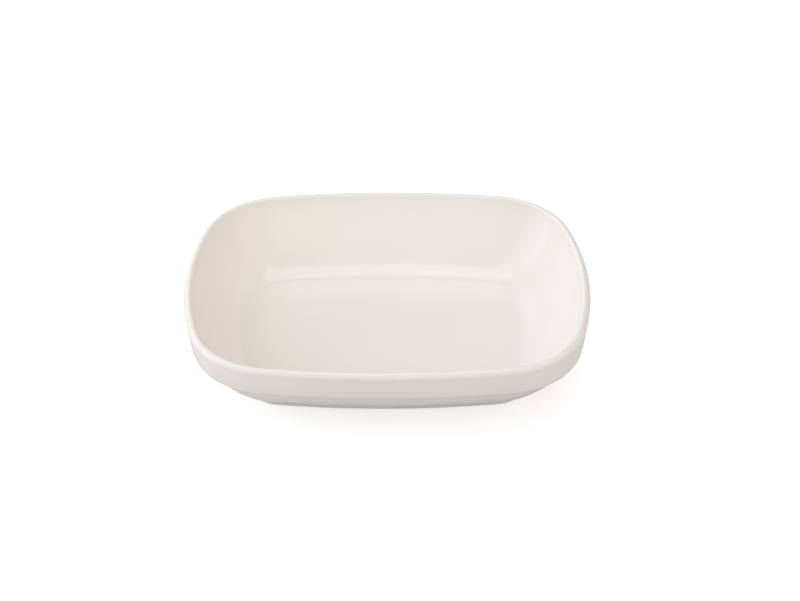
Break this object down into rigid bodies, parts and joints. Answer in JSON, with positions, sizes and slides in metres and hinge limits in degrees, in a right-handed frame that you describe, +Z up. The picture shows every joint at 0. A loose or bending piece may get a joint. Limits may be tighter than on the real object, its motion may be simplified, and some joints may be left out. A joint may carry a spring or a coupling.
{
  "type": "rectangular plate",
  "caption": "Small rectangular plate of white glazed porcelain with bowed sides, round corners, a smooth well, an upright outer band and a bare-edged foot ring, for serving food.",
  "frame": {"origin": "under the centre of the plate, on the plane that its foot stands on", "axes": "+X along the long sides, to the right as pictured; +Y away from the camera; +Z up"},
  "size_m": [0.15, 0.12, 0.03],
  "materials": {
    "bare_porcelain": "matte",
    "white_glaze": "gloss"
  },
  "bodies": {
    "root": {"porcelain_body": "bare_porcelain", "outer_glaze": "white_glaze", "base_glaze": "white_glaze"}
  },
  "joints": []
}
